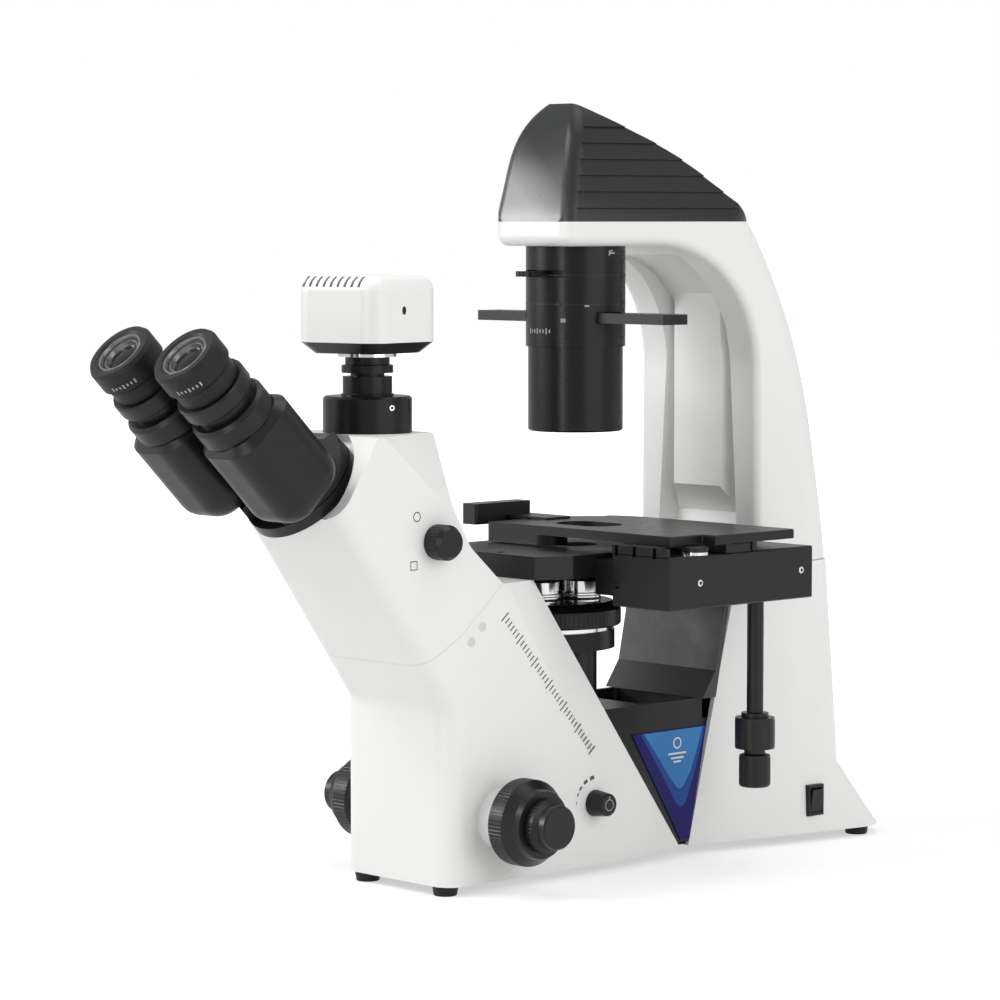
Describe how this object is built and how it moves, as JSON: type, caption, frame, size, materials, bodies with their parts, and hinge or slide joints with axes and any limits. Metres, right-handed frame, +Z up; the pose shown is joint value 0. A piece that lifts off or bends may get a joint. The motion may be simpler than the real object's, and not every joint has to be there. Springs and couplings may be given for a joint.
{
  "type": "inverted microscope",
  "caption": "White inverted laboratory microscope with leaning binocular tubes, camera on the head, stage between two stand sections and a black lamp cover on a curved arm.",
  "frame": {"origin": "on the bench plane, straight below the optical axis of condenser and objective", "axes": "+Z up, -Y towards the user and the eyepieces, +X to the user's right"},
  "size_m": [0.2382, 0.6153, 0.5033],
  "materials": {
    "white_paint": "satin powder-coated casting",
    "black_metal": "matte black anodised or painted metal",
    "black_plastic": "fine-textured black plastic",
    "dark_grey": "smooth dark grey moulding",
    "rubber": "soft black rubber",
    "chrome": "bright plated ring",
    "steel": "ground steel rod",
    "brass": "machined brass",
    "glass": "coated optical glass",
    "mirror": "front-surface mirror on its block",
    "badge_blue": "blue laminate with paler triangles"
  },
  "bodies": {
    "stand": {"base_front_casting": "white_paint", "head_casing": "white_paint", "base_rear_casting": "white_paint", "bottom_plate": "black_metal", "rubber_feet": "rubber", "column_arm": "white_paint", "column_front_cover": "dark_grey", "base_tray": "black_metal", "badge_panels": "black_plastic", "badge_inlays": "badge_blue", "lamp_cover": "black_plastic", "lamp_unit": "black_metal", "condenser_upper_barrel": "black_metal", "condenser_lower_barrel": "black_metal", "condenser_lens": "glass", "stage_support": "black_metal", "stage_rail": "black_metal", "guide_rods": "steel", "focus_collars": "white_paint", "binocular_base": "black_metal", "port_collar": "black_metal", "switch_bezel": "black_plastic", "mains_inlet": "black_plastic", "fold_mirror": "mirror", "head_prism": "glass", "power_supply": "black_metal"},
    "nosepiece_lift": {"lift_carriage": "black_metal", "focus_rack": "brass", "nosepiece_body": "black_metal", "nosepiece_rim": "chrome"},
    "turret": {"nosepiece_turret": "black_metal", "objectives_dark": "black_metal", "objectives_bright": "chrome"},
    "coarse_drive": {"coarse_focus": "black_plastic", "focus_pinion": "brass"},
    "fine_drive": {"fine_focus": "black_plastic"},
    "stage_y": {"stage_block": "black_metal"},
    "stage_x": {"stage_plate": "black_metal", "specimen_clip": "black_metal"},
    "stage_clamp": {"clamp_screw": "chrome"},
    "y_knob": {"y_drive_knob": "black_plastic"},
    "x_knob": {"x_drive_knob": "black_plastic"},
    "eye_tube_right": {"eye_housing_right": "black_metal", "eyepiece_right": "rubber", "eye_lens_right": "glass"},
    "eye_tube_left": {"eye_housing_left": "black_metal", "eyepiece_left": "rubber", "eye_lens_left": "glass"},
    "diopter_right": {"diopter_ring_right": "black_plastic"},
    "diopter_left": {"diopter_ring_left": "black_plastic"},
    "camera": {"camera_adapter": "black_metal", "adapter_flange": "chrome", "camera_base": "black_metal", "camera_shell": "white_paint"},
    "selector": {"selector_knob": "black_plastic"},
    "dimmer": {"dimmer_knob": "black_plastic"},
    "rocker": {"switch_rocker": "black_plastic"},
    "aperture": {"aperture_lever": "black_metal"},
    "slider": {"phase_slider": "black_metal"}
  },
  "joints": [
    {"name": "nosepiece_lift", "type": "slide", "parent": "stand", "child": "nosepiece_lift", "axis": [0, 0, 1], "range_m": [-0.002, 0.007]},
    {"name": "turret_turn", "type": "hinge", "parent": "nosepiece_lift", "child": "turret", "pos_m": [0, -0.025, 0.169], "axis": [0, 0, 1], "continuous": true},
    {"name": "coarse_focus", "type": "hinge", "parent": "stand", "child": "coarse_drive", "pos_m": [0, -0.117, 0.047], "axis": [1, 0, 0], "range_deg": [-12, 41]},
    {"name": "fine_focus", "type": "hinge", "parent": "stand", "child": "fine_drive", "pos_m": [0, -0.117, 0.047], "axis": [1, 0, 0], "continuous": true},
    {"name": "stage_y", "type": "slide", "parent": "stand", "child": "stage_y", "axis": [0, 1, 0], "range_m": [-0.035, 0.04]},
    {"name": "stage_x", "type": "slide", "parent": "stage_y", "child": "stage_x", "axis": [1, 0, 0], "range_m": [-0.03, 0.04]},
    {"name": "y_knob_turn", "type": "hinge", "parent": "stage_y", "child": "y_knob", "pos_m": [0.105, 0.063, 0.09], "axis": [0, 0, 1], "continuous": true},
    {"name": "x_knob_turn", "type": "hinge", "parent": "stage_y", "child": "x_knob", "pos_m": [0.105, 0.063, 0.065], "axis": [0, 0, 1], "continuous": true},
    {"name": "stage_clamp", "type": "hinge", "parent": "stage_y", "child": "stage_clamp", "pos_m": [0.124, -0.015, 0.216], "axis": [0, 0, 1], "range_deg": [0, 180]},
    {"name": "eye_spread", "type": "hinge", "parent": "stand", "child": "eye_tube_right", "pos_m": [0, -0.23617, 0.2588], "axis": [0, -0.7071, 0.7071], "range_deg": [-11, 19]},
    {"name": "eye_spread_left", "type": "hinge", "parent": "stand", "child": "eye_tube_left", "pos_m": [0, -0.23617, 0.2588], "axis": [0, -0.7071, 0.7071], "range_deg": [-19, 11]},
    {"name": "diopter_right", "type": "hinge", "parent": "eye_tube_right", "child": "diopter_right", "pos_m": [0.0313, -0.33291, 0.3247], "axis": [0, -0.7071, 0.7071], "range_deg": [-150, 150]},
    {"name": "diopter_left", "type": "hinge", "parent": "eye_tube_left", "child": "diopter_left", "pos_m": [-0.0313, -0.33291, 0.3247], "axis": [0, -0.7071, 0.7071], "range_deg": [-150, 150]},
    {"name": "camera_swivel", "type": "hinge", "parent": "stand", "child": "camera", "pos_m": [0, -0.184, 0.33], "axis": [0, 0, 1], "range_deg": [-90, 90]},
    {"name": "light_path_selector", "type": "hinge", "parent": "stand", "child": "selector", "pos_m": [0.055, -0.172, 0.227], "axis": [1, 0, 0], "range_deg": [0, 90]},
    {"name": "brightness", "type": "hinge", "parent": "stand", "child": "dimmer", "pos_m": [0.055, -0.032, 0.0475], "axis": [1, 0, 0], "range_deg": [-135, 135]},
    {"name": "power_rocker", "type": "hinge", "parent": "stand", "child": "rocker", "pos_m": [0.062, 0.17, 0.029], "axis": [0, -1, 0], "range_deg": [0, 10]},
    {"name": "aperture_lever", "type": "hinge", "parent": "stand", "child": "aperture", "pos_m": [0, 0, 0.392], "axis": [0, 0, 1], "range_deg": [-24, 24]},
    {"name": "phase_slider", "type": "slide", "parent": "stand", "child": "slider", "axis": [1, 0, 0], "range_m": [-0.034, 0.034]}
  ],
  "couplings": [
    {"joint": "coarse_focus", "follows": "nosepiece_lift", "rad_per_m": 100},
    {"joint": "y_knob_turn", "follows": "stage_y", "rad_per_m": 250},
    {"joint": "x_knob_turn", "follows": "stage_x", "rad_per_m": 250},
    {"joint": "eye_spread_left", "follows": "eye_spread", "ratio": -1}
  ]
}
